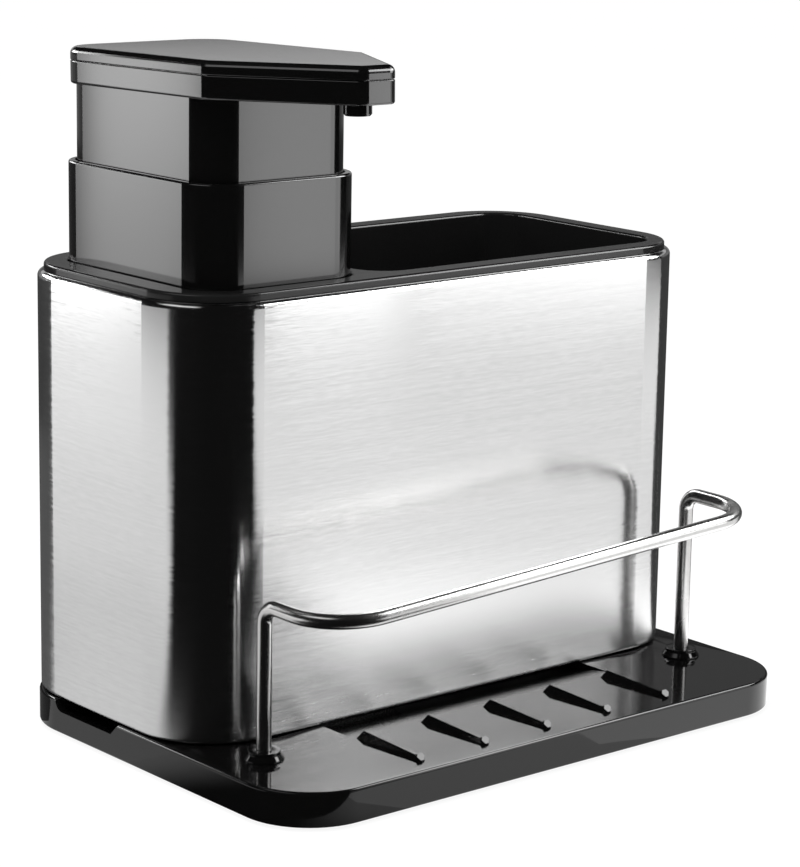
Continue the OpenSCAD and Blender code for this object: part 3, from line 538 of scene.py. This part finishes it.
tray_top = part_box("steel_shell")[0][2] - SHELL_GAP
(ferrule_left, _, ferrule_bottom), (_, _, ferrule_top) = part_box("rail_ferrules")
brim = left - ferrule_left
bore, stem, lip, neck = WIRE / 2 + WIRE_GAP, brim - STEM_INSET, brim - LIP_INSET, brim - NECK_INSET
ferrule_section = [
    (bore, ferrule_bottom), (lip, ferrule_bottom),
    (lip, ferrule_bottom + LIP_HEIGHT), (stem, ferrule_bottom + LIP_HEIGHT),
    (stem, tray_top), (brim, tray_top), (brim, tray_top + BRIM_HEIGHT),
    (neck, ferrule_top - NECK_HEIGHT), (neck, ferrule_top), (bore, ferrule_top)]
ferrules = mesh_of(turned(ferrule_section, [(left, back), (right, back)]), "ferrules_sharp")
ferrules = through_modifier(ferrules, "ferrule_rings", "BEVEL", {
    "width": FERRULE_EDGE, "segments": FERRULE_EDGE_STEPS, "limit_method": "ANGLE", "angle_limit": SHARP_ANGLE})
ferrules.shade_smooth()
ferrules.set_sharp_from_angle(angle=SHARP_ANGLE)
finished_piece("ferrule_rings", ferrules, "tray", "rail_ferrules")

# %% [markdown]
# ## Drain and fins
# The tray keeps its solid's walls, pan and feet recesses. Two things on its top need finer shapes. The drain falls
# away under the caddy in one smooth slope, where the solid has a plain step. The fins end a little further forward,
# each in a small cut stud that catches the light.

# %% Drain slope and fins
FIN_COUNT, FIN_PITCH, FIN_LENGTH, FIN_REACH = 5, 23.4 * MM, 21.4 * MM, 2.6 * MM
FIN_BACK_WIDTH, FIN_FRONT_WIDTH, FIN_RIDGE = 5.6 * MM, 2.6 * MM, 1.2 * MM
FIN_BACK_HEIGHT, FIN_FRONT_HEIGHT, FIN_LEAN, FIN_SINK = 2.1 * MM, 1.1 * MM, 0.9 * MM, 0.3 * MM
STUD_HEIGHT, STUD_FALL = 1.75 * MM, 1.235
STUD_ROWS = ((0.75 * MM, 0.0), (1.35 * MM, 0.6 * MM), (0.55 * MM, 1.35 * MM))
STUD_ROOT_HALF, STUD_ROOT_LENGTH = 0.45 * MM, 1.2 * MM
DRAIN_DEPTH, DRAIN_END, DRAIN_STEPS, DRAIN_CURVE = 2.4 * MM, 3.2 * MM, 24, 2.2
SOLID_STEP, SHELF_SETBACK = 0.8 * MM, 13.8 * MM
NEAR = 0.05 * MM

drain_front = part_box("steel_shell")[0][1] - SHELF_SETBACK
drain_half = FIN_PITCH * (FIN_COUNT - 1) / 2 + DRAIN_END
drain_back = max(v.co.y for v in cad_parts["base_tray"].data.vertices
                 if abs(v.co.z - tray_top + SOLID_STEP) < NEAR and abs(v.co.x) < drain_half + NEAR)
print("drain from", round(drain_front / MM, 2), "to", round(drain_back / MM, 2))


def fins_shape(material):
    shape = Shape("fins", material, Pitch=FIN_PITCH, Count=FIN_COUNT)
    pitch, count = shape.given("Pitch"), shape.given("Count")
    first = shape.add("ShaderNodeCombineXYZ", None, {"X": (count - 1) * pitch * -0.5})
    step = shape.add("ShaderNodeCombineXYZ", None, {"X": pitch})
    row = shape.add("GeometryNodeMeshLine", {"mode": "OFFSET"},
                    {"Count": count, "Start Location": first, "Offset": step})
    copies = shape.add("GeometryNodeInstanceOnPoints", None, {"Points": row, "Instance": shape.start})
    shape.end(copies, smooth=False)
    return shape


def hull(corners):
    """The faces of the smallest closed shape round some corners, as numbers into the list."""
    made = bmesh.new()
    number = {made.verts.new(c): i for i, c in enumerate(corners)}
    bmesh.ops.convex_hull(made, input=list(made.verts))
    bmesh.ops.recalc_face_normals(made, faces=made.faces)
    faces = [tuple(number[v] for v in face.verts) for face in made.faces]
    made.free()
    return faces


def fin_parts():
    """One fin: a wedge, high and wide at the back, and a small cut stud in front whose face leans to the light."""
    fin_back, fin_front, low = drain_front, drain_front - FIN_LENGTH - FIN_REACH, tray_top - FIN_SINK
    wedge, stud = [], []
    for y, width, height, lean in ((fin_back, FIN_BACK_WIDTH, FIN_BACK_HEIGHT, FIN_LEAN),
                                   (fin_front, FIN_FRONT_WIDTH, FIN_FRONT_HEIGHT, 0.0)):
        for side in (-0.5, 0.5):
            wedge += [(width * side, y, low), (FIN_RIDGE * side, y - lean, tray_top + height)]
    for half, forward in STUD_ROWS:
        height = STUD_HEIGHT - forward * STUD_FALL
        for x in (-half, half):
            stud += [(x, fin_front - forward, tray_top + height), (x, fin_front - forward, low)]
    for x in (-STUD_ROOT_HALF, STUD_ROOT_HALF):
        stud += [(x, fin_front + STUD_ROOT_LENGTH, z) for z in (low, tray_top + FIN_FRONT_HEIGHT)]
    stud_faces = [tuple(i + len(wedge) for i in face) for face in hull(stud)]
    return wedge + stud, hull(wedge) + stud_faces


def drain_slope():
    """A curved slope that starts level with the shelf and runs down under the shell, with its two end walls."""
    made, run = bmesh.new(), drain_back - drain_front
    slope, rim = [], []
    for i in range(DRAIN_STEPS + 1):
        along = run * (i / DRAIN_STEPS)
        fall = DRAIN_DEPTH * min(1.0, along / SHELF_SETBACK) ** DRAIN_CURVE
        slope.append([made.verts.new((x, drain_front + along, tray_top - fall)) for x in (-drain_half, drain_half)])
        rim.append([made.verts.new((x, drain_front + along, tray_top)) for x in (-drain_half, drain_half)]
                   if i else slope[0])
    for i in range(DRAIN_STEPS):
        made.faces.new((slope[i][0], slope[i][1], slope[i + 1][1], slope[i + 1][0]))
        for side in range(2):
            corners = [slope[i][side], slope[i + 1][side], rim[i + 1][side]]
            if i:
                corners.append(rim[i][side])
            made.faces.new(corners if side == 0 else corners[::-1])
    return mesh_of(made, "drain_slope")


fin_corners, fin_faces = fin_parts()
fins_mesh = fins_shape(finishes["base_tray"]).build("fins", fin_corners, (), fin_faces)
print("fins", len(fins_mesh.polygons), "faces")

# %% [markdown]
# ## The finer tray
# The solid's own faces of the drain step and the fins are found by where they lie, and taken out of the copy. The
# slope and the fins fill the gap. Weighted normals keep the big flat faces flat, so that they mirror without a bend.

# %% Finer tray
TOUCH = 0.02 * MM
TRAY_SHARP_ANGLE = math.radians(25)
LEVEL = 0.999


def is_replaced(face):
    """Whether a face of the solid belongs to its plain drain step or to one of its fins."""
    (x0, y0, z0), (x1, y1, z1) = (
        [pick(v.co[axis] for v in face.verts) for axis in range(3)] for pick in (min, max))
    if x0 < -drain_half - TOUCH or x1 > drain_half + TOUCH:
        return False
    if y0 < drain_front - FIN_LENGTH - TOUCH or z0 < tray_top - SOLID_STEP - TOUCH:
        return False
    on_drain = y0 > drain_front - TOUCH and y1 < drain_back + TOUCH and z1 < tray_top + TOUCH
    on_shelf = y1 < drain_front + TOUCH
    level_top = face.normal.z > LEVEL and z0 > tray_top - TOUCH and z1 < tray_top + TOUCH
    return on_drain or (on_shelf and not level_top)


def finer_tray():
    made = bmesh.new()
    made.from_mesh(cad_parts["base_tray"].data)
    bmesh.ops.remove_doubles(made, verts=made.verts, dist=MERGE)
    gone = [face for face in made.faces if is_replaced(face)]
    print("tray faces taken out:", len(gone))
    bmesh.ops.delete(made, geom=gone, context="FACES")
    made.from_mesh(drain_slope())
    made.from_mesh(fins_mesh)
    mesh = mesh_of(made, "tray_with_drain")
    mesh.shade_smooth()
    mesh.set_sharp_from_angle(angle=TRAY_SHARP_ANGLE)
    return through_modifier(mesh, "drip_tray", "WEIGHTED_NORMAL", {"keep_sharp": True})


finished_piece("drip_tray", finer_tray(), "tray", "base_tray")

# %% [markdown]
# ## Studio
# Gloss black and brushed steel show what stands round them, so the studio is built for its reflections. The object
# stands on white paper. Round it runs a tent of cards that only reflections see: upright light panels give the grey
# faces of the pump, pale cards and white paper give the bright faces of the steel, and black cards between them give
# the dark corners and outlines.

# %% Paper and world
PAPER_COLOUR, PAPER_SHARE, PAPER_GLOW = 0.9, 0.8, 1.14
WORLD_FILL = 0.5
FLOOR_HALF = 4.0


def seen_or_mirrored(nodes):
    """1 for the camera, for metal and for glass, 0 for the light that the object gets."""
    camera, glossy, through = (nodes.add("ShaderNodeLightPath", out=kind)
                               for kind in ("Is Camera Ray", "Is Glossy Ray", "Is Transmission Ray"))
    return camera.most(glossy).most(through)


def white_world():
    world = bpy.data.worlds.new("studio")
    bpy.context.scene.world = world
    world.use_nodes = True
    world.node_tree.nodes.clear()
    nodes = Nodes(world.node_tree)
    level = seen_or_mirrored(nodes).ramp(0.0, 1.0, WORLD_FILL, 1.0)
    light = nodes.add("ShaderNodeBackground", None, {"Color": grey(1.0), "Strength": level})
    nodes.add("ShaderNodeOutputWorld", None, {"Surface": light})


def bare_material(name):
    material = bpy.data.materials.new(name)
    material.use_nodes = True
    material.node_tree.nodes.clear()
    return material, Nodes(material.node_tree)


def white_paper():
    """Paper that stays white where it is seen, and still takes the object's shadow."""
    material, nodes = bare_material("white_paper")
    paper = nodes.add("ShaderNodeBsdfDiffuse", None, {"Color": grey(PAPER_COLOUR)})
    light = nodes.add("ShaderNodeEmission", None, {"Strength": PAPER_GLOW})
    share = seen_or_mirrored(nodes) * PAPER_SHARE
    both = nodes.add("ShaderNodeMixShader", None, {0: share, 1: paper, 2: light})
    nodes.add("ShaderNodeOutputMaterial", None, {"Surface": both})
    return material


def stage_piece(name, corners, faces, material):
    mesh = bpy.data.meshes.new(name)
    mesh.from_pydata(corners, [], faces)
    mesh.materials.append(material)
    piece = bpy.data.objects.new(name, mesh)
    bpy.context.scene.collection.objects.link(piece)
    return piece


white_world()
stage_piece("floor", [(-FLOOR_HALF, -FLOOR_HALF, 0), (FLOOR_HALF, -FLOOR_HALF, 0),
                      (FLOOR_HALF, FLOOR_HALF, 0), (-FLOOR_HALF, FLOOR_HALF, 0)], [(0, 1, 2, 3)], white_paper())

# %% [markdown]
# ## Cards and panels
# Each card is a strip of a round tent's wall or a wedge of its ground, given by the directions that it spans, in
# degrees from the caddy's long axis. The directions were worked back from where the faces in the picture turn dark:
# a ray from the camera is mirrored at the face and followed to the tent. The light panels fade out towards their
# sides, so the grey faces end softly.

# %% Cards and panels
TENT_RADIUS, PANEL_RADIUS, FOOT_RADIUS = 450 * MM, 440 * MM, 455 * MM
TENT_MIDDLE = (0.0, 20 * MM)
STEP_DEGREES = 3
# Heights over the paper, different so that no two cards lie in one plane where they overlap.
CARD_LIFT, BACK_LIFT, CORNER_LIFT = 0.5 * MM, 1.0 * MM, 1.5 * MM


def glow(name, strength, fade=None, edge=0.0, rise=None):
    """Light of one strength. With fade, (start, end, width) in degrees, it turns to edge towards both sides. With
    rise, (low, high, share) with heights in mm, it starts at that share of itself at the low height."""
    material, nodes = bare_material(name)
    x, y, z = nodes.axes()
    if rise:
        low, high, share = rise
        strength = z.ramp(low * MM, high * MM, share, 1.0) * strength
    if fade:
        start, end, width = fade
        degrees = (y - TENT_MIDDLE[1]).turn(x)
        middle = degrees.ramp(start, start + width) * degrees.ramp(end, end - width)
        strength = middle * (strength - edge) + edge
    light = nodes.add("ShaderNodeEmission", None, {"Strength": strength})
    nodes.add("ShaderNodeOutputMaterial", None, {"Surface": light})
    return material


def card(name, corners, faces, material):
    """A piece of the stage that nothing but a reflection sees."""
    piece = stage_piece(name, corners, faces, material)
    piece.visible_camera = False
    piece.visible_diffuse = False
    piece.visible_transmission = False
    piece.visible_volume_scatter = False
    piece.visible_shadow = False


def tent_strip(name, start, end, inner, outer, material):
    """Strip between two directions. Inner and outer are (radius, height) of its two long edges."""
    count = max(1, round(abs(end - start) / STEP_DEGREES))
    corners = []
    for i in range(count + 1):
        angle = math.radians(start + (end - start) * i / count)
        for radius, height in (inner, outer):
            corners.append((TENT_MIDDLE[0] + radius * math.cos(angle),
                            TENT_MIDDLE[1] + radius * math.sin(angle), height))
    faces = [(2 * i, 2 * i + 2, 2 * i + 3, 2 * i + 1) for i in range(count)]
    card(name, corners, faces, material)


def wall(name, start, end, bottom, top, strength, radius=TENT_RADIUS, width=0.0, edge=0.0, rise=None):
    """Upright card. Bottom and top are heights in mm, width is that of its soft sides in degrees."""
    light = glow(name, strength, (start, end, width) if width else None, edge, rise)
    tent_strip(name, start, end, (radius, bottom * MM), (radius, top * MM), light)


def panel(name, start, end, bottom, top, strength, width, rise=None):
    """Light panel with soft sides that stands a little in front of the wall."""
    wall(name, start, end, bottom, top, strength, PANEL_RADIUS, width, rise=rise)


def ground(name, start, end, near, far, strength, width=0.0, edge=0.0, lift=CARD_LIFT):
    """Flat card just over the paper. Near and far are distances from the tent's middle in mm."""
    light = glow(name, strength, (start, end, width) if width else None, edge)
    tent_strip(name, start, end, (near * MM, lift), (far * MM, lift), light)


BLACK, DARK, PALE = 0.006, 0.05, 0.71
PANEL_BOTTOM, PANEL_TOP, TENT_TOP = 64, 240, 1200

# Light panels: directions, bottom, top, strength, width of the soft sides, and for one how it rises with height.
for sizes in (
        ("panel_left", 130.4, 138.4, PANEL_BOTTOM, PANEL_TOP, 3.0, 1.2, (60, 165, 0.62)),
        ("panel_left_high", 98.0, 128.0, PANEL_TOP, 330, 9.0, 3.0),
        ("panel_right", 295.4, 304.6, PANEL_BOTTOM, PANEL_TOP, 2.35, 1.2),
        ("panel_right_high", 303.0, 346.0, PANEL_TOP, 560, 8.0, 3.0),
        ("panel_right_low", 304.2, 320.0, PANEL_BOTTOM, 150, 1.8, 0.8),
        ("panel_over", 146.0, 214.0, 430, 700, 1.1, 14.0)):
    panel(*sizes)

# Wall cards from the front round to the back: directions, bottom, top, strength. The back ones are shades one above
# the other, since each flat top of the caddy mirrors its own band of the wall behind it.
for sizes in (
        ("card_front", 137.5, 296.3, PANEL_BOTTOM, TENT_TOP, BLACK),
        ("card_front_low", 181.0, 280.0, 0, PANEL_BOTTOM, BLACK),
        ("card_left_high", 131.0, 137.5, PANEL_TOP, TENT_TOP, BLACK),
        ("card_panel_high", 296.3, 303.0, PANEL_TOP, TENT_TOP, BLACK),
        ("card_right_foot", 296.5, 320.0, 0, PANEL_BOTTOM, 0.84),
        ("card_right_inner", 303.0, 320.0, 230, TENT_TOP, BLACK),
        ("card_right", 320.0, 348.0, PANEL_BOTTOM, TENT_TOP, BLACK),
        ("card_back_foot", -12.0, 127.0, 0, PANEL_BOTTOM, DARK),
        ("card_back_low", -12.0, 131.0, PANEL_BOTTOM, 120, DARK),
        ("card_back_shelf", -12.0, 131.0, 120, 196, 0.185),
        ("card_back_rim", -12.0, 131.0, 196, 222, 0.03),
        ("card_back_cap", -12.0, 131.0, 222, 285, 0.47),
        ("card_back_high", -12.0, 131.0, 285, TENT_TOP, BLACK)):
    wall(*sizes)
wall("card_left_foot", 121.0, 181.0, 0, PANEL_BOTTOM, 1.0, FOOT_RADIUS, 6.0, edge=0.02)

# Ground cards: directions, near, far, strength, and for two of them the width and the strength of their soft sides.
for sizes in (
        ("card_front_ground", 181.0, 283.0, 130, 450, BLACK, 6.0, 0.75),
        ("card_corner_ground", 186.0, 238.0, 97, 130, BLACK, 18.0, 0.65),
        ("card_left_close", 121.0, 186.0, 97, 130, PALE),
        ("card_left_near", 121.0, 181.0, 130, 260, PALE),
        ("card_left_far", 121.0, 181.0, 260, 450, 0.85),
        ("card_right_near", 283.0, 345.0, 100, 190, 1.6),
        ("card_right_middle", 283.0, 345.0, 190, 330, 0.95),
        ("card_right_far", 283.0, 345.0, 330, 450, 0.92)):
    ground(*sizes)
ground("card_back_ground", 0.0, 127.0, 100, 450, DARK, lift=BACK_LIFT)
ground("card_back_ground_end", 345.0, 359.9, 100, 450, DARK, lift=BACK_LIFT)

# A grey patch behind the back left corner, and the black top of the tent.
BACK_CORNER = [(x * MM, y * MM, CORNER_LIFT) for x, y in ((-97, 52), (-300, 430), (0, 450), (0, 72))]
card("card_back_corner", BACK_CORNER, [(0, 1, 2, 3)], glow("card_back_corner", 0.10))
tent_strip("card_ceiling", 0.0, 360.0, (0.0, TENT_TOP * MM), (TENT_RADIUS, TENT_TOP * MM),
           glow("card_ceiling", BLACK))

# %% [markdown]
# ## Lamp
# One wide soft lamp hangs overhead on the camera's side. It lights the paper and the milky and rubber pieces. Gloss
# and steel don't show it, since their highlights all come from the cards.

# %% Lamp
LAMP_PLACE, LAMP_AIM = Vector((-0.20, -0.10, 0.95)), Vector((0.0, 0.0, 0.1))
LAMP_SIZE, LAMP_WATTS = 0.6, 3.5


def soft_lamp(name):
    data = bpy.data.lights.new(name, "AREA")
    data.size, data.energy = LAMP_SIZE, LAMP_WATTS
    lamp = bpy.data.objects.new(name, data)
    lamp.location = LAMP_PLACE
    lamp.rotation_euler = (LAMP_AIM - LAMP_PLACE).to_track_quat("-Z", "Y").to_euler()
    bpy.context.scene.collection.objects.link(lamp)
    lamp.visible_camera = False
    lamp.visible_glossy = False


soft_lamp("overhead")
